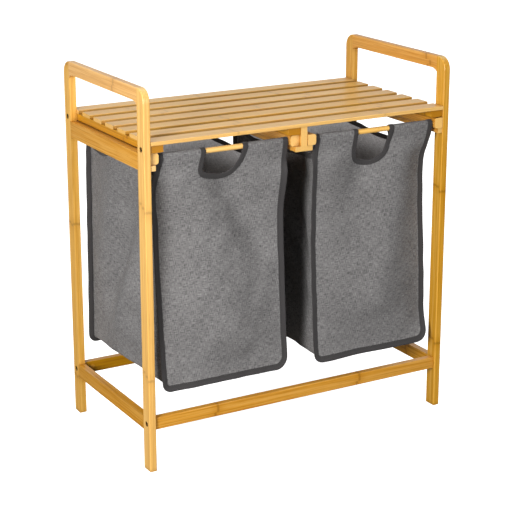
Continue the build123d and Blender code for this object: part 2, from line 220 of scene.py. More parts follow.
def thicken(piece, thickness):
    shell = piece.modifiers.new("thickness", "SOLIDIFY")
    shell.thickness = thickness
    shell.offset = 0.0
    shell.use_even_offset = False
    return piece


# ================================================================ materials
class Nodes:
    """A small helper to write a node tree as calls."""

    def __init__(self, owner):
        owner.use_nodes = True
        self.owner = owner
        self.tree = owner.node_tree
        self.shader = self.tree.nodes.get("Principled BSDF")

    @classmethod
    def material(cls, name):
        return cls(bpy.data.materials.new(name))

    def add(self, kind, settings=None, **inputs):
        """A new node's outputs. Its inputs go by name, or by number as _0, _1 and so on."""
        node = self.tree.nodes.new(kind)
        for key, value in (settings or {}).items():
            setattr(node, key, value)
        for key, value in inputs.items():
            place = int(key[1:]) if key[1:].isdigit() else key
            self.give(node.inputs[place], value)
        return node.outputs

    def give(self, socket, value):
        if isinstance(value, bpy.types.NodeSocket):
            self.tree.links.new(value, socket)
        else:
            socket.default_value = value

    def math(self, operation, a, b=0.0):
        return self.add("ShaderNodeMath", {"operation": operation}, _0=a, _1=b)[0]

    def ramp(self, value, low, high, to_low=0.0, to_high=1.0):
        return self.add(
            "ShaderNodeMapRange",
            {"interpolation_type": "SMOOTHSTEP"},
            _0=value,
            _1=low,
            _2=high,
            _3=to_low,
            _4=to_high,
        )[0]

    def mix(self, share, a, b):
        return self.add("ShaderNodeMix", {"data_type": "RGBA"}, _0=share, _6=a, _7=b)[2]

    def noise(self, vector, scale, detail=2.0, rough=0.5):
        return self.add(
            "ShaderNodeTexNoise", None, Vector=vector, Scale=scale, Detail=detail, Roughness=rough
        )[0]

    def scaled(self, vector, scale, move=(0, 0, 0)):
        return self.add("ShaderNodeMapping", None, Vector=vector, Scale=scale, Location=move)[0]

    def joined(self, x, y, z):
        return self.add("ShaderNodeCombineXYZ", None, _0=x, _1=y, _2=z)[0]

    def bump(self, height, strength, distance, below=None):
        inputs = {"Height": height, "Strength": strength, "Distance": distance}
        if below is not None:
            inputs["Normal"] = below
        return self.add("ShaderNodeBump", None, **inputs)[0]

    def into(self, name, value):
        self.give(self.shader.inputs[name], value)

    def times(self, a, b):
        return self.math("MULTIPLY", a, b)

    def plus(self, a, b):
        return self.math("ADD", a, b)

    def waves(self, vector, direction, scale, distortion):
        return self.add(
            "ShaderNodeTexWave",
            {"wave_type": "BANDS", "bands_direction": direction, "wave_profile": "SIN"},
            Vector=vector,
            Scale=scale,
            Distortion=distortion,
        )[1]


def linear(red, green, blue, alpha=1.0):
    """A screen colour, 0 to 255, as the linear colour that shaders take."""
    shares = (c / 255 for c in (red, green, blue))
    curved = (c / 12.92 if c <= 0.04 else ((c + 0.055) / 1.055) ** 2.4 for c in shares)
    return (*curved, alpha)


BAMBOO_LIGHT = linear(243, 186, 102)
BAMBOO_MID = linear(232, 168, 78)
BAMBOO_DEEP = linear(202, 136, 48)
# The knuckles' colour, also used for the painted shade where pieces meet.
BAMBOO_KNUCKLE_AND_SHADE = linear(146, 90, 26)
BAMBOO_END_AND_PAINTED_LIGHT = linear(246, 202, 126)
# Painted shade for the faces between the slats.
BAMBOO_SHADE = linear(164, 112, 40)
STRIP = 19.0 * MM  # the width of one laminated strip
NODE_GAP = 0.31  # between the knuckles of one strip
JOINT_SHADE_REACH = 9.0 * MM  # painted shade: the wood is darker this near another piece

# Texture scales are in cells to a metre.
FIBRE_SCALE = 480.0
BAND_SCALE = 190.0
BUNDLE_SCALE = 900.0
GRAIN_STRETCH = 0.014  # how fast the grain changes along its run, next to across it
YARN_SCALE = 1250.0
FINE_YARN_SCALE = 1500.0
CROSSING_SCALE = 380.0
TAPE_RIB_SCALE = 330.0
STEEL_SCALE = 900.0

PAINTED_GLOW_HEIGHTS = (0.465, 0.54)  # painted light: the lining's glow grows from the first height to the second


def bamboo(name, axis, seed, tone, pale=0.0, rich=1.0, flank=1.0, ends=0.2, hue=0.5):
    """Laminated bamboo with its grain along that axis: strips of slightly different tone, fine
    fibres, a few darker knuckles, and paler end grain with its bundles.

    tone, rich and hue set brightness, saturation and hue. pale mixes in the pale end-grain tone,
    for some pieces as painted light; flank below one paints shade on the faces towards the front
    and the back; and ends darkens the end grain, for the battens as painted shade.
    """
    n = Nodes.material(name)
    draw = random.Random(seed)
    place = n.add("ShaderNodeTexCoord")[3]
    parts = n.add("ShaderNodeSeparateXYZ", None, _0=place)
    order = {"X": (0, 1, 2), "Y": (1, 0, 2), "Z": (2, 0, 1)}[axis]
    run, wide, deep = (n.plus(parts[k], draw.uniform(0.5, 3.0)) for k in order)
    # Fibres wander a little off the straight run.
    drift = n.noise(n.joined(n.times(run, 5.0), wide, deep), 1.0, 1.0)
    wide = n.plus(wide, n.times(drift, 3.0 * MM))
    grain = n.joined(n.times(run, GRAIN_STRETCH), wide, deep)
    fibres = n.noise(grain, FIBRE_SCALE, 3.0, 0.7)
    bands = n.noise(grain, BAND_SCALE, 2.0, 0.5)
    cell = n.math("FLOOR", n.math("DIVIDE", wide, STRIP))
    layer = n.math("FLOOR", n.math("DIVIDE", deep, 0.5 * STRIP))
    strip = n.add(
        "ShaderNodeTexWhiteNoise", {"noise_dimensions": "2D"}, Vector=n.joined(cell, layer, 0.0)
    )[0]
    # One knuckle every NODE_GAP along a strip, at its own place on each.
    phase = n.math("FRACT", n.plus(n.math("DIVIDE", run, NODE_GAP), n.times(strip, 0.06)))
    uneven = n.noise(n.joined(0.0, wide, deep), 320.0, 2.0)
    away = n.math("ABSOLUTE", n.math("SUBTRACT", phase, n.plus(0.49, n.times(uneven, 0.014))))
    knuckle = n.ramp(away, 0.003, 0.012, 1.0, 0.0)
    halo = n.ramp(away, 0.0, 0.07, 1.0, 0.0)
    base = n.mix(n.ramp(bands, 0.38, 0.60), BAMBOO_MID, BAMBOO_LIGHT)
    base = n.mix(n.times(n.ramp(fibres, 0.46, 0.64), 0.85), base, BAMBOO_DEEP)
    base = n.mix(n.times(strip, 0.28), base, BAMBOO_DEEP)
    base = n.mix(n.times(halo, 0.40), base, BAMBOO_DEEP)
    base = n.mix(n.times(knuckle, 0.50), base, BAMBOO_KNUCKLE_AND_SHADE)
    # pale mixes in the end-grain tone, for some pieces as painted light.
    base = n.mix(pale, base, BAMBOO_END_AND_PAINTED_LIGHT)
    # Painted shade: ambient occlusion darkens the wood towards the knuckles' colour where two
    # pieces meet.
    open_air = n.add("ShaderNodeAmbientOcclusion", {"samples": 4}, Distance=JOINT_SHADE_REACH)[1]
    joint_shade = n.ramp(open_air, 0.35, 0.95, 0.75, 0.0)
    # End grain shows where the surface faces along the run.
    facing = n.add("ShaderNodeSeparateXYZ", None, _0=n.add("ShaderNodeNewGeometry")[1])
    end = n.ramp(n.math("ABSOLUTE", facing[order[0]]), 0.75, 0.92)
    bundles = n.add("ShaderNodeTexVoronoi", None, Vector=place, Scale=BUNDLE_SCALE)[0]
    end_colour = n.mix(n.ramp(bundles, 0.1, 0.45, 0.55, 0.0), BAMBOO_END_AND_PAINTED_LIGHT, BAMBOO_DEEP)
    end_colour = n.mix(ends, end_colour, BAMBOO_DEEP)
    # Painted shade: faces towards the front and the back darken when flank is below one.
    side = n.ramp(n.math("ABSOLUTE", facing[1]), 0.6, 0.9)
    base = n.mix(n.times(side, 1.0 - flank), base, BAMBOO_SHADE)
    colour = n.mix(joint_shade, n.mix(end, base, end_colour), BAMBOO_KNUCKLE_AND_SHADE)
    uneven_rich = rich + 0.04 * draw.uniform(-1, 1)
    toned = n.add(
        "ShaderNodeHueSaturation", None, Hue=hue, Saturation=uneven_rich, Value=tone, Color=colour
    )[0]
    n.into("Base Color", toned)
    n.into("Roughness", n.ramp(fibres, 0.3, 0.8, 0.34, 0.52))
    rough = n.bump(fibres, 0.25, 0.3 * MM)
    n.into("Normal", n.bump(knuckle, 0.35, 0.4 * MM, rough))
    n.into("Specular IOR Level", 0.5)
    n.into("Coat Weight", 0.4)
    n.into("Coat Roughness", 0.28)
    return n.owner


def weave(name, dark, light, sheen, glow=0.0):
    """A heathered plain weave in flat cloth coordinates: two sets of threads, each of uneven
    thickness and shade, with short pale and dark slubs along them. The glow argument paints light
    as if it came through the cloth near the bag's mouth."""
    n = Nodes.material(name)
    flat = n.add("ShaderNodeUVMap", {"uv_map": "cloth"})[0]
    warp = n.noise(n.scaled(flat, (1.0, 0.10, 1.0)), YARN_SCALE, 1.0)
    weft = n.noise(n.scaled(flat, (0.07, 1.0, 1.0), (3.1, 1.7, 0.0)), YARN_SCALE, 1.0)
    fine_warp = n.noise(n.scaled(flat, (1.0, 0.05, 1.0), (0.4, 0.9, 0.0)), FINE_YARN_SCALE, 1.0)
    fine_weft = n.noise(n.scaled(flat, (0.05, 1.0, 1.0), (1.4, 2.9, 0.0)), FINE_YARN_SCALE, 1.0)
    threads = n.plus(n.times(warp, 0.5), n.times(weft, 0.5))
    fine = n.plus(n.times(fine_warp, 0.5), n.times(fine_weft, 0.5))
    cloudy = n.noise(flat, 14.0, 3.0)
    mixed = n.plus(n.times(threads, 0.72), n.times(fine, 0.28))
    shade = n.plus(mixed, n.times(n.math("SUBTRACT", cloudy, 0.5), 0.10))
    colour = n.mix(n.ramp(shade, 0.385, 0.615), dark, light)
    n.into("Base Color", colour)
    if glow:
        # Painted light: the cloth glows more towards the bag's mouth.
        height = n.add("ShaderNodeSeparateXYZ", None, _0=n.add("ShaderNodeTexCoord")[3])[2]
        n.into("Emission Color", colour)
        n.into("Emission Strength", n.ramp(height, *PAINTED_GLOW_HEIGHTS, 0.05, glow))
    n.into("Roughness", n.ramp(threads, 0.3, 0.7, 0.95, 0.82))
    picks = n.waves(flat, "X", CROSSING_SCALE, 0.6)
    ends = n.waves(flat, "Y", CROSSING_SCALE, 0.6)
    first = n.bump(n.times(picks, ends), 0.35, 0.1 * MM)
    n.into("Normal", n.bump(mixed, 0.45, 0.16 * MM, first))
    n.into("Sheen Weight", sheen)
    n.into("Sheen Roughness", 0.6)
    n.into("Specular IOR Level", 0.2)
    return n.owner


def ribbon(name, dark, light):
    """Binding tape: a fine cross rib with a slight sheen."""
    n = Nodes.material(name)
    flat = n.add("ShaderNodeUVMap", {"uv_map": "cloth"})[0]
    ribs = n.waves(flat, "X", TAPE_RIB_SCALE, 1.0)
    worn = n.noise(flat, 180.0, 3.0)
    shade = n.plus(n.times(ribs, 0.3), n.times(worn, 0.5))
    n.into("Base Color", n.mix(shade, dark, light))
    n.into("Roughness", n.ramp(worn, 0.3, 0.7, 0.62, 0.82))
    n.into("Normal", n.bump(ribs, 0.3, 0.2 * MM))
    n.into("Sheen Weight", 0.15)
    n.into("Specular IOR Level", 0.3)
    return n.owner


def steel(name):
    """Dark bronzed steel fasteners with fine turning marks."""
    n = Nodes.material(name)
    place = n.add("ShaderNodeTexCoord")[3]
    marks = n.noise(n.scaled(place, (1.0, 1.0, 14.0)), STEEL_SCALE, 2.0)
    n.into("Base Color", n.mix(marks, linear(84, 72, 56), linear(122, 108, 86)))
    n.into("Roughness", n.ramp(marks, 0.3, 0.7, 0.28, 0.46))
    n.into("Normal", n.bump(marks, 0.15, 0.1 * MM))
    n.into("Metallic", 1.0)
    return n.owner


def floor_finish(name):
    """A nearly even white ground that lights itself, as in a product photograph."""
    n = Nodes.material(name)
    place = n.add("ShaderNodeTexCoord")[3]
    mottled = n.noise(place, 3.0, 4.0)
    n.into("Base Color", n.mix(mottled, (0.90, 0.90, 0.90, 1), (0.93, 0.93, 0.93, 1)))
    n.into("Roughness", n.ramp(mottled, 0.3, 0.7, 0.9, 0.8))
    n.into("Specular IOR Level", 0.1)
    n.into("Emission Color", (1, 1, 1, 1))
    n.into("Emission Strength", 0.85)
    return n.owner


# ================================================================ bamboo on the CAD pieces
ALONG_X = ("shelf_slat", "lower_rail", "dowel")
STEEL_NODES = ("frame_bolts", "threaded_inserts", "slat_screws", "runner_screws")
SOFT_WORDS = ("panel", "binding")

# How each wooden piece differs from plain bamboo, by the first of these words in its name. Partly
# the pieces' own tones and partly painted light and shade: the back rail, the battens and their
# ends, the rails and the right-hand pieces are darker and richer as painted shade, and the dowels
# and the left-hand pieces are paler as painted light.
TONES_AND_PAINTED_SHADE = {
    "shelf_slat": 0.98,
    "batten": 0.70,
    "lower_rail_back": 0.62,
    "lower_side_rail": 0.76,
    "lower_rail": 0.81,
    "upper_side_rail": 0.83,
    "handle_bar_right": 0.86,
    "handle": 0.97,
    "post_front_right": 0.80,
    "post_back_right": 0.88,
    "post_front_left": 0.97,
    "runner": 0.93,
    "post_": 0.93,
    "dowel": 1.04,
}
PALE_AND_PAINTED_LIGHT = {
    "dowel": 0.75,
    "slat": 0.35,
    "post_front_left": 0.22,
    "post_back_left": 0.1,
    "handle_bar_left": 0.2,
}
RICH_AND_PAINTED_SHADE = {
    "batten": 1.14,
    "rail_back": 1.2,
    "rail": 1.07,
    "_right": 1.04,
    "post_front_left": 0.95,
    "handle": 0.95,
}
ENDS_AND_PAINTED_SHADE = {"batten": 0.9, "slat": 0.5}
HUE = {"slat": 0.506, "post": 0.506}
SHADE_BETWEEN_SLATS = 0.25  # painted shade on the faces between the slats, which lie in the slats' shadow
TONE_GAIN = 1.04
TONE_SPREAD = 0.025  # how far the pieces' tones differ from one another besides


def grain_axis(node):
    if any(word in node for word in ALONG_X):
        return "X"
    return "Z" if node.startswith("post_") else "Y"


def looked_up(table, node, usual):
    return next((value for word, value in table.items() if word in node), usual)


def bamboo_for(number, node):
    tone = looked_up(TONES_AND_PAINTED_SHADE, node, 1.0) * (TONE_GAIN + TONE_SPREAD * math.sin(2.4 * number))
    between = "slat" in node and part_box(node)[0].y > cad_low.y + 30 * MM
    return bamboo(
        "bamboo_" + node,
        grain_axis(node),
        number,
        tone,
        pale=looked_up(PALE_AND_PAINTED_LIGHT, node, 0.0),
        rich=looked_up(RICH_AND_PAINTED_SHADE, node, 1.0),
        flank=SHADE_BETWEEN_SLATS if between else 1.0,
        ends=looked_up(ENDS_AND_PAINTED_SHADE, node, 0.2),
        hue=looked_up(HUE, node, 0.5),
    )


metal = steel("bronzed_steel")
for number, (node, piece) in enumerate(sorted(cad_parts.items())):
    if any(word in node for word in SOFT_WORDS):
        continue
    if node == "barrel_nuts":  # the photograph shows no metal on their ends
        finish = bamboo("bamboo_plugs", "X", 17, 0.85, rich=1.1)
    else:
        finish = metal if node in STEEL_NODES else bamboo_for(number, node)
    piece.data.materials.clear()
    piece.data.materials.append(finish)


# ================================================================ the bags
FABRIC = weave("heathered_grey_cloth", linear(82, 80, 80), linear(139, 137, 136), 0.06)
# The inner face is painted paler than the outside, as painted light, with a painted glow near the
# mouth.
PAINTED_LIGHT_LINING = weave("cloth_reverse_painted_light", linear(116, 114, 114), linear(162, 160, 160), 0.03, 0.75)
TAPE = ribbon("binding_tape", linear(44, 42, 42), linear(66, 63, 63))
THREAD = ribbon("sewing_thread", linear(44, 42, 42), linear(70, 68, 68))


class Bag:
    def __init__(self, name):
        self.name = name
        left_bar, right_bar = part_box(name + "_bar_left"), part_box(name + "_bar_right")
        self.middle = (left_bar[1].x + right_bar[0].x) / 2

    def body(self, piece, slot, *nodes):
        """Ride the piece on this bag, in the place of those CAD nodes. slot is not used."""
        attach(piece, self.name)
        if nodes:
            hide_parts(*[self.name + "_" + node for node in nodes])
        return piece


class Panel:
    """One end panel of a bag: a flat cut, and where each point of it hangs.

    Flat coordinates are (across from the middle, up from the bottom edge along the cloth).
    face is -1 for the front panel and 1 for the back one, the side that its outside faces.
    left and right are its edges' places across, by height. recess is how far it hangs in from the
    dowel's outer side, by height, and folds what is added outwards to that, by place and height.
    """

    def __init__(self, bag, dowel, face, left, right, recess, folds):
        low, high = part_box(bag.name + dowel)
        self.face, self.left, self.right, self.folds = face, left, right, folds
        self.middle = bag.middle
        self.axis_y, self.axis_z = (low.y + high.y) / 2, (low.z + high.z) / 2
        radius = (high.z - low.z) / 2 + SLEEVE_GAP
        seam_z = self.axis_z - SEAM_DROP
        # The profile is (outwards from the dowel's axis, height): up the outside, over the dowel,
        # and down the turned edge inside the bag.
        heights = np.linspace(PANEL_BOTTOM, seam_z, 60)
        hang = np.stack([radius - recess(heights), heights], axis=1)
        turn = np.linspace(-0.1, math.pi + 0.1, 25)
        loop = np.stack([radius * np.cos(turn), self.axis_z + radius * np.sin(turn)], axis=1)
        inner = hang[-1, 0] - CLOTH - 0.6 * MM
        flap = [
            [inner, seam_z],
            [inner - 0.1 * MM, seam_z - 0.5 * FLAP],
            [inner - 0.4 * MM, seam_z - FLAP],
        ]
        line = respaced(np.concatenate([hang, loop, flap]), FINE_STEP)
        padded = np.pad(line[:, 0], SMOOTHED // 2, "edge")
        line[:, 0] = np.convolve(padded, np.ones(SMOOTHED) / SMOOTHED, "valid")
        self.line, self.length = line, along(line)
        self.tall = self.length[-1]
        self.seam_t = self.at_height(seam_z)
        self.rim_t = self.at_height(self.axis_z - RIM_DROP[face])

    def at_height(self, z):
        """How far up the flat cut the hanging cloth passes this height, on its outer side."""
        first = np.argmax(self.line[:, 1])
        return float(np.interp(z, self.line[: first + 1, 1], self.length[: first + 1]))

    @staticmethod
    def from_edge(x, t):
        """How far a flat point is from the nearest of the side and bottom edges."""
        radius = np.where(x < 0, *PANEL_CORNERS)
        side = PANEL_HALF - np.abs(x)
        corner = radius - np.hypot(radius - side, radius - t)
        return np.where((side < radius) & (t < radius), corner, np.minimum(side, t))

    def place(self, flat):
        """Where the flat points hang."""
        flat = np.asarray(flat, float)
        x, t = flat[..., 0], flat[..., 1]
        out = np.interp(t, self.length, self.line[:, 0])
        z = np.where(t < 0, PANEL_BOTTOM + t, np.interp(t, self.length, self.line[:, 1]))
        a, b = self.left(z), self.right(z)
        share = (x + PANEL_HALF) / (2 * PANEL_HALF)
        out = out + smooth((self.seam_t - t) / FOLDS_START) * self.folds(x, z)
        past_seam = np.clip(1 - self.from_edge(x, t) / FIN, 0, 1.2)
        below_rim = smooth((self.rim_t - t) / LEAN_START)
        out = out + FIN_LEAN * FIN * past_seam**1.4 * below_rim
        return np.stack(
            [self.middle + a + share * (b - a), self.axis_y + self.face * out, z], axis=-1
        )

    def normal(self, flat):
        """The outward normal."""
        flat = np.asarray(flat, float)
        step = 0.5 * MM
        sideways = self.place(flat + [step, 0]) - self.place(flat - [step, 0])
        upwards = self.place(flat + [0, step]) - self.place(flat - [0, step])
        return unit(self.face * np.cross(upwards, sideways))

    def outline(self):
        """The flat edge, from the top left corner down, across and up to the top right one."""
        turn = np.linspace(math.pi, 1.5 * math.pi, 9)
        halves = []
        for radius in PANEL_CORNERS:
            across, up = radius * (np.cos(turn) + 1) - PANEL_HALF, radius * (np.sin(turn) + 1)
            corner = np.stack([across, up], axis=1)
            halves.append(np.concatenate([[[-PANEL_HALF, self.tall]], corner]))
        return np.concatenate([halves[0], halves[1][::-1] * [-1, 1]])


def lined(piece):
    """Cloth of its real thickness, whose inner face is painted paler, as painted light, and glows
    near the mouth.
    """
    thicken(piece, CLOTH)
    piece.data.materials.append(PAINTED_LIGHT_LINING)
    piece.modifiers["thickness"].material_offset = 1


def sewn_panel(bag, panel, name, cut, node):
    """The cloth of an end panel, as triangles inside its flat outline, and its flat area."""
    ring = respaced(panel.outline(), EDGE_STEP)
    if cut is not None:
        ring = np.concatenate([ring, respaced(cut[::-1], CUT_STEP)])
    xs = np.arange(-PANEL_HALF + GRID_INSET, PANEL_HALF, CLOTH_STEP)
    ts = np.arange(GRID_INSET, panel.tall, CLOTH_STEP)
    # The turn over the dowel takes closer rows.
    sleeve = np.arange(panel.seam_t - 4 * MM, panel.tall - 1 * MM, SLEEVE_STEP)
    ts = np.concatenate([ts[ts < panel.seam_t - 5 * MM], sleeve])
    inside = np.stack(np.meshgrid(xs, ts, indexing="ij"), axis=-1).reshape(-1, 2)
    near = np.min(np.linalg.norm(inside[:, None, :] - ring[None, :, :], axis=2), axis=1)
    inside = inside[near > EDGE_CLEAR]
    points = [Vector(p) for p in np.concatenate([ring, inside])]
    made = delaunay_2d_cdt(points, [], [list(range(len(ring)))], 1, 1e-7)
    flat = np.array([tuple(v) for v in made[0]])
    faces = [f if panel.face < 0 else f[::-1] for f in made[2]]
    piece = make_mesh(bag.name + name, panel.place(flat), faces, flat, FABRIC)
    area = sum(
        abs(np.cross(flat[f[1]] - flat[f[0]], flat[f[2]] - flat[f[0]])) / 2 for f in faces
    )
    lined(piece)
    bag.body(piece, "fabric", node)
    return piece, area


# ---------------------------------------------------------------- the gusset
class Gusset:
    """The strip between the two end panels: down one side, across the bottom, up the other."""

    def __init__(self, front, back, middle, shape):
        self.front, self.back, self.middle, self.shape = front, back, middle, shape
        self.front_edge, self.back_edge = self.seam(front), self.seam(back)
        self.girth = along(self.front_edge)[-1]
        self.depth = float(np.linalg.norm(front.place([0, 0.2]) - back.place([0, 0.2])))

    @staticmethod
    def seam(panel):
        """The seam's line on the panel's flat cut, below the gusset's free top edges."""
        edge = respaced(panel.outline(), FINE_STEP)
        edge = edge + FIN * inward(edge)
        return edge[edge[:, 1] <= panel.rim_t]

    @staticmethod
    def flat_at(edge, share):
        at = np.linspace(0, 1, len(edge))
        return np.stack([np.interp(share, at, edge[:, k]) for k in range(2)], axis=-1)

    def place(self, share, depth):
        """The point at that share of the girth, and that share of the depth from the front."""
        share, depth = np.broadcast_arrays(np.asarray(share, float), np.asarray(depth, float))
        a = self.front.place(self.flat_at(self.front_edge, share))
        b = self.back.place(self.flat_at(self.back_edge, share))
        point = a + depth[..., None] * (b - a)
        return point + self.shape(share, depth, point, self)

    def normal(self, share, depth):
        """The outward normal."""
        step = 0.001
        after, before = np.clip(share + step, 0, 1), np.clip(share - step, 0, 1)
        girth = self.place(after, depth) - self.place(before, depth)
        deep = self.place(share, depth + step) - self.place(share, depth - step)
        return unit(np.cross(deep, girth))


def sewn_gusset(bag, gusset):
    rows, columns = round(gusset.girth / CLOTH_STEP), round(gusset.depth / GUSSET_STEP)
    share, depth = np.meshgrid(
        np.linspace(0, 1, rows), np.linspace(0, 1, columns), indexing="ij"
    )
    points = gusset.place(share, depth).reshape(-1, 3)
    flat = np.stack([depth * gusset.depth, share * gusset.girth], axis=-1).reshape(-1, 2)
    faces = grid_faces(rows, columns)[:, ::-1]
    piece = make_mesh(bag.name + "_gusset_cloth", points, faces, flat, FABRIC)
    lined(piece)
    bag.body(piece, "fabric", "side_panel_left", "side_panel_right", "bottom_panel")
    return piece


# ---------------------------------------------------------------- tapes and stitches
def inward(edge):
    """Unit vectors to the left of the run of a flat line."""
    run = np.gradient(edge, axis=0)
    return unit(np.stack([-run[:, 1], run[:, 0]], axis=1))


def strip(bag, name, rows, distance, *nodes):
    """Tape as a strip: rows of points across it, in the order that they run along it."""
    count, across = rows.shape[:2]
    widths = along(rows[count // 2])
    flat = np.stack(np.meshgrid(distance, widths, indexing="ij"), axis=-1).reshape(-1, 2)
    faces = grid_faces(count, across)
    piece = make_mesh(bag.name + name, rows.reshape(-1, 3), faces, flat, TAPE)
    thicken(piece, TAPE_THICK)
    return bag.body(piece, "binding", *nodes)


def face_rows(panel, edge, inside, reach, lift):
    """Lines of points along a panel's edge, at those distances in from it. lift is how far they
    lie outwards from the middle of the cloth."""
    rows = []
    for w in reach:
        normal = panel.normal(edge + inside * max(w, 0.5 * MM))
        rows.append(panel.place(edge + inside * w) + lift * normal)
    return np.stack(rows, axis=1)


def edge_rows(panel, edge, inside, outer, inner):
    """Tape folded over an edge of the cloth, that far in on its outer and its inner face."""
    front = face_rows(panel, edge, inside, TAPE_REACH * outer, TAPE_LIFT)
    back = face_rows(panel, edge, inside, TAPE_REACH[::-1] * inner, -TAPE_LIFT)
    nose = face_rows(panel, edge, inside, [-0.8 * RIDGE, -RIDGE, -0.8 * RIDGE], 0.0)
    nose[:, 0] += 0.6 * TAPE_LIFT * panel.normal(edge)
    nose[:, 2] -= 0.6 * TAPE_LIFT * panel.normal(edge)
    return np.concatenate([front, nose, back], axis=1)


def seam_tape(bag, panel, name, node):
    """Tape round an end panel: it folds over the edge, and its inner side ends at the gusset."""
    edge = respaced(panel.outline(), EDGE_STEP)
    edge = edge[edge[:, 1] < panel.tall - FLAP]
    inside = inward(edge)
    rows = edge_rows(panel, edge, inside, TAPE_WIDTH, FIN - TAPE_LIFT)
    return strip(bag, name, rows, along(edge), node), edge, inside


def rim_tape(bag, gusset, name, end):
    """Tape over the free top edge of the gusset, at the start, 0, or the end, 1, of its girth."""
    depth = np.linspace(0.0, 1.0, 70)
    way = 1.0 if end == 0 else -1.0

    def row(inset, lift):
        share = np.full(len(depth), end + way * inset / gusset.girth)
        return gusset.place(share, depth) + lift * gusset.normal(share, depth)

    outer = [row(w, TAPE_LIFT) for w in EDGE_TAPE * TAPE_REACH]
    inner = [row(w, -TAPE_LIFT) for w in EDGE_TAPE * TAPE_REACH[::-1]]
    edge = row(0.0, 0.0)
    up = unit(edge - row(4 * MM, 0.0))
    rows = np.stack([*outer, edge + up * RIDGE, *inner], axis=1)
    return strip(bag, name, rows, depth * gusset.depth)


def stitches(bag, lines):
    """Rows of stitches: short threads that lie on the cloth and dip into it at both ends. Each
    line is its points and the cloth's normals there."""
    points, faces, flat = [], [], []
    turn = 2 * math.pi * np.arange(THREAD_SIDES) / THREAD_SIDES
    ring_x = THREAD_RADIUS * np.cos(turn)[None, :, None]
    ring_y = THREAD_RADIUS * np.sin(turn)[None, :, None]
    last = THREAD_SIDES * (len(STITCH_STOPS) - 1)
    for line, normals in lines:
        run = along(line)
        for at in np.arange(0.5 * STITCH_PITCH, run[-1] - 0.5 * STITCH_PITCH, STITCH_PITCH):
            stops = at + STITCH_STOPS * STITCH_PITCH
            centre = np.stack([np.interp(stops, run, line[:, k]) for k in range(3)], axis=1)
            up = unit(np.stack([np.interp(stops, run, normals[:, k]) for k in range(3)], axis=1))
            centre = centre + up * STITCH_RISE[:, None]
            ahead = unit(np.gradient(centre, axis=0))
            across = unit(np.cross(ahead, up))
            above = np.cross(across, ahead)
            ring = centre[:, None, :] + ring_x * across[:, None, :] + ring_y * above[:, None, :]
            first = len(points)
            points.extend(ring.reshape(-1, 3))
            flat.extend([(s, k * THREAD_RADIUS) for s in stops for k in range(THREAD_SIDES)])
            for a in range(first, first + last, THREAD_SIDES):
                for k in range(THREAD_SIDES):
                    b, c = a + k, a + (k + 1) % THREAD_SIDES
                    faces.append((b, c, c + THREAD_SIDES, b + THREAD_SIDES))
            faces.append(tuple(first + k for k in reversed(range(THREAD_SIDES))))
            faces.append(tuple(first + last + k for k in range(THREAD_SIDES)))
    piece = make_mesh(bag.name + "_stitches", points, faces, flat, THREAD)
    return bag.body(piece, "binding")


def sewn_line(panel, line, lift):
    """A line of stitches on a panel's face, for stitches()."""
    normal = panel.normal(line)
    return panel.place(line) + lift * normal, normal


def sleeve_lines(panel, gap):
    """The stitches under the sleeve, on both sides of that gap."""
    reach = PANEL_HALF - TAPE_WIDTH
    lines = []
    for a, b in ((-reach, gap[0]), (gap[1], reach)):
        x = np.linspace(a, b, 40)
        line = np.stack([x, np.full(len(x), panel.seam_t - SLEEVE_STITCH)], axis=1)
        lines.append(sewn_line(panel, line, 0.5 * CLOTH))
    return lines


# ---------------------------------------------------------------- one whole bag
def make_bag(
    bag, front_left, front_right, back_left, recess, front_folds, back_folds, cut_out, side
):
    """All sewn pieces of one bag. cut_out has the cut-out's points, (across, height) in mm, where
    None is the cloth's top edge. side is how the gusset hangs."""
    back_right = through((0, PANEL_HALF), (1, PANEL_HALF))
    back_recess = through((PANEL_BOTTOM, 3 * MM), (0.3, 6 * MM), (0.5, 4 * MM), (0.565, 3 * MM))
    front = Panel(bag, "_front_dowel", -1, front_left, front_right, recess, front_folds)
    back = Panel(bag, "_back_dowel", 1, back_left, back_right, back_recess, back_folds)
    cut = np.array(
        [(x * MM, front.tall if z is None else front.at_height(z * MM)) for x, z in cut_out]
    )
    cut = respaced(rounded(cut), FINE_STEP)
    front_cloth, front_area = sewn_panel(bag, front, "_front_cloth", cut, "front_panel")
    back_cloth, back_area = sewn_panel(bag, back, "_back_cloth", None, "back_panel")
    gusset = Gusset(front, back, bag.middle, side)
    gusset_cloth = sewn_gusset(bag, gusset)

    front_tape, edge, inside = seam_tape(bag, front, "_front_tape", "front_binding")
    back_tape, back_edge, back_inside = seam_tape(bag, back, "_back_tape", "back_binding")
    hole = respaced(cut, HOLE_STEP)
    hole = hole[hole[:, 1] < front.tall - FLAP]
    hole_inside = inward(hole[::-1])[::-1]
    rows = edge_rows(front, hole, hole_inside, EDGE_TAPE, EDGE_TAPE)
    cut_tape = strip(bag, "_cutout_tape", rows, along(hole), "cutout_binding")
    rims = [
        rim_tape(bag, gusset, "_rim_tape_left", 0),
        rim_tape(bag, gusset, "_rim_tape_right", 1),
    ]

    lift = TAPE_LIFT + 0.5 * TAPE_THICK
    seam_in, hole_in = TAPE_WIDTH - STITCH_INSET, EDGE_TAPE - STITCH_INSET
    hole_gap = (cut[:, 0].min() - EDGE_TAPE, cut[:, 0].max() + EDGE_TAPE)
    sewn = [
        sewn_line(front, edge + inside * seam_in, lift),
        sewn_line(back, back_edge + back_inside * seam_in, lift),
        sewn_line(front, hole + hole_inside * hole_in, lift),
        *sleeve_lines(front, hole_gap),
        *sleeve_lines(back, (0.0, 0.0)),
    ]
    thread = stitches(bag, sewn)


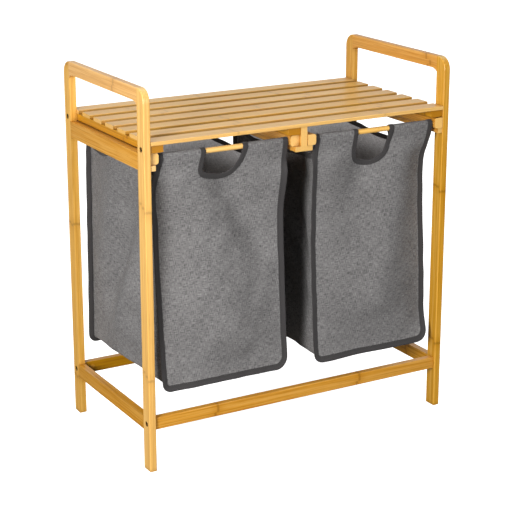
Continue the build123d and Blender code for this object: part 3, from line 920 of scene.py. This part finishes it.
def side_shape(seed, sag_left, sag_right, push, lift):
    """How the gusset leaves the straight lines between its seams. sag_left and sag_right lower its
    top edges, push moves its left side outwards, and lift raises its lowest part."""

    def shape(share, depth, point, gusset):
        z = point[..., 2]
        left = smooth((0.5 - share) / 0.06 + 0.5)  # 1 on the left side, 0 on the right
        free = np.clip(4 * depth * (1 - depth), 0, None) ** 0.7  # 0 at the seams
        low = smooth((0.22 - z) / 0.07)  # 1 near the bottom
        floor = smooth((0.16 - z) / 0.02)  # 1 on the bottom itself
        rim = smooth((z - 0.47) / 0.08)  # 1 at the free top edges
        deep = depth * gusset.depth
        soft = ripple(deep, z * 0.45, seed, 0.13) + 0.5 * ripple(deep, z * 0.8, seed + 1, 0.06)
        bulge = soft * 2.2 * MM + left * push(depth, z)
        sag = left * sag_left(depth) + (1 - left) * sag_right(depth)
        across = (point[..., 0] - gusset.middle) / FLOOR_HALF
        bottom = -FLOOR_SAG * (1 - across**2)
        move = np.zeros(share.shape + (3,))
        move[..., 0] = (1 - 2 * left) * free * bulge * (1 - floor)
        move[..., 2] = low * free * lift(depth) + floor * free * bottom - rim * sag * free
        return move

    return shape


def soft_folds(seed, crown, turned, *folds):
    """How a hanging panel leaves its profile: unevenness, a crown between its seams, a turn about
    its middle, and long soft folds. Each is (across, half width, height, from z, to z) in mm, and
    its slant."""

    def shape(x, z):
        total = 1.2 * MM * ripple(x, 0.4 * z, seed, 0.12) + 0.4 * MM * ripple(x, z, seed + 5, 0.05)
        total = total + crown(z) * (1 - (x / PANEL_HALF) ** 2) + turned(z) * x / PANEL_HALF
        for at, width, deep, low, high, slant in folds:
            middle = at * MM + slant * (z - 0.5 * (low + high) * MM)
            starts = smooth((z - low * MM) / FOLD_FADE)
            stops = smooth((high * MM - z) / FOLD_FADE)
            total = total + deep * MM * bell(x, middle, width * MM) * starts * stops
        return total

    return shape


def mm_curve(*pairs):
    return through(*[(z * MM, value * MM) for z, value in pairs])


def left_push(depth, z):
    """The long slanting fold in the left bag's open side, with a ridge on each side of it."""
    lower = FOLD_Z - z
    valley = bell(depth, 0.50 + 1.8 * lower, 0.12) * bell(z, 0.34, 0.14)
    ridge_behind = bell(depth, 0.78 + 1.3 * lower, 0.13) * bell(z, 0.40, 0.14)
    ridge_before = bell(depth, 0.24 + 1.8 * lower, 0.13) * bell(z, 0.28, 0.12)
    return (-23 * valley + 9 * ridge_behind + 12 * ridge_before) * MM


def right_push(depth, z):
    """The right bag's left side falls in behind its front seam, with a small fold in it."""
    hollow = bell(depth, 0.24, 0.24) * smooth((z - 0.15) / 0.1)
    crease = bell(depth, 0.30 - 2.0 * (FOLD_Z - z), 0.07) * bell(z, 0.39, 0.09)
    return (-26 * hollow - 7 * crease) * MM


back_folds = (mm_curve((143, 0), (300, 5), (560, 0)), mm_curve((143, 0), (560, 0)))
make_bag(
    Bag("bag_left"),
    front_left=mm_curve(
        (140, -128), (200, -129.5), (320, -132), (450, -133), (540, -137), (558, -133),
        (572, -129.4),
    ),
    front_right=mm_curve(
        (140, 129), (200, 129), (368, 129.5), (436, 127), (503, 127), (560, 129.4), (572, 129.4)
    ),
    back_left=mm_curve((140, -136), (300, -134), (450, -131), (550, -129.4), (572, -129.4)),
    recess=mm_curve(
        (142, 1), (175, 4), (250, 10), (320, 16), (368, 19), (436, 19), (503, 13), (540, 7),
        (562, 3),
    ),
    front_folds=soft_folds(
        3,
        mm_curve((143, 1), (200, 5), (300, 8), (400, 5), (480, 0), (560, 0)),
        mm_curve((143, 0), (330, 0), (440, 4), (520, 7), (561, 0)),
        (-28, 56, 11.0, 170, 590, -0.25),
        (36, 32, -11.0, 340, 590, -0.50),
    ),
    back_folds=soft_folds(4, *back_folds),
    cut_out=[
        (-38, None), (-38, 590), (-38, 547), (-37, 539), (-30, 535), (-12, 530), (2, 527.5),
        (13, 528.5), (23, 535), (32, 549), (38, 566), (40, 582), (40, None),
    ],
    side=side_shape(
        11,
        sag_left=lambda depth: -10 * MM + 26 * MM * bell(depth, 0.9, 0.2),
        sag_right=lambda depth: 15 * MM,
        push=left_push,
        lift=lambda depth: 2 * MM * bell(depth, 0.30, 0.40) - 3 * MM * bell(depth, 0.85, 0.15),
    ),
)
make_bag(
    Bag("bag_right"),
    front_left=mm_curve(
        (140, -127), (200, -129), (320, -131), (450, -131), (540, -132), (560, -130), (572, -129.4)
    ),
    front_right=mm_curve(
        (140, 131), (200, 130), (356, 129), (418, 127), (539, 126), (560, 129), (572, 129.4)
    ),
    back_left=mm_curve((140, -129.4), (572, -129.4)),
    recess=mm_curve(
        (142, 0), (175, 3), (250, 7), (320, 11), (368, 13), (436, 13), (503, 10), (540, 6),
        (562, 3),
    ),
    front_folds=soft_folds(
        7,
        mm_curve((143, 1), (200, 5), (300, 7), (400, 4), (480, 1), (560, 0)),
        mm_curve((143, 0), (300, -2), (440, -4), (520, -4), (561, 0)),
        (44, 56, 10.0, 190, 590, 0.30),
        (-14, 30, -7.0, 440, 590, 0.25),
        (-92, 26, 3.0, 460, 590, 0.0),
        (124, 40, -9.0, 140, 580, 0.0),
    ),
    back_folds=soft_folds(8, *back_folds),
    cut_out=[
        (-37, None), (-37, 590), (-38, 562), (-37, 543), (-31, 524), (-14, 518), (2, 517),
        (16, 522), (28, 534), (30, 552), (34, 568), (35, 582), (35, None),
    ],
    side=side_shape(
        21,
        sag_left=lambda depth: 16 * MM,
        sag_right=lambda depth: 16 * MM,
        push=right_push,
        lift=lambda depth: 4 * MM * bell(depth, 0.4, 0.25),
    ),
)

# ================================================================ floor, lights, camera
bpy.ops.mesh.primitive_plane_add(size=60.0, location=(0, 0, 0))
floor = bpy.context.object
floor.name = "floor"
floor.data.materials.append(floor_finish("pale_floor"))
floor.visible_diffuse = False  # the photograph's ground throws no light back up
floor.visible_glossy = False


def area_light(name, at, towards, size, power):
    light = bpy.data.lights.new(name, "AREA")
    light.shape, light.size, light.energy = "DISK", size, power
    lamp = bpy.data.objects.new(name, light)
    lamp.location = at
    lamp.rotation_euler = (Vector(towards) - Vector(at)).to_track_quat("-Z", "Y").to_euler()
    bpy.context.scene.collection.objects.link(lamp)


area_light("left_light", (-1.80, -1.22, 0.90), (-0.05, 0, 0.42), 0.8, 51.0)
area_light("front_light", (0.05, -2.30, 0.95), (0, 0, 0.4), 0.9, 21.0)

# A studio that is brightest behind the object and overhead, and dim near the ground.
world = bpy.data.worlds.new("studio")
sky = Nodes(world)
way = sky.add("ShaderNodeSeparateXYZ", None, _0=sky.add("ShaderNodeTexCoord")[0])
behind = sky.plus(sky.times(way[0], 0.6), sky.times(way[1], 0.8))
wall = sky.ramp(behind, 0.0, 0.8, 0.16, 0.62)
above = sky.ramp(way[2], -0.35, 0.05, 0.25, 1.0)
overhead = sky.ramp(way[2], 0.55, 1.0, 0.0, 0.95)
background = sky.tree.nodes["Background"]
sky.give(background.inputs["Color"], (1, 1, 1, 1))
sky.give(background.inputs["Strength"], sky.plus(sky.times(wall, above), overhead))
bpy.context.scene.world = world
bpy.context.scene.view_settings.view_transform = "Standard"

camera = bpy.data.objects.new("camera", bpy.data.cameras.new("camera"))
camera.data.lens = LENS
camera.data.shift_y = SHIFT_Y
camera.location = CAMERA_AT
ahead = Vector(
    (
        math.sin(CAMERA_YAW) * math.cos(CAMERA_PITCH),
        math.cos(CAMERA_YAW) * math.cos(CAMERA_PITCH),
        -math.sin(CAMERA_PITCH),
    )
)
camera.rotation_euler = ahead.to_track_quat("-Z", "Y").to_euler()
bpy.context.scene.collection.objects.link(camera)
bpy.context.scene.camera = camera
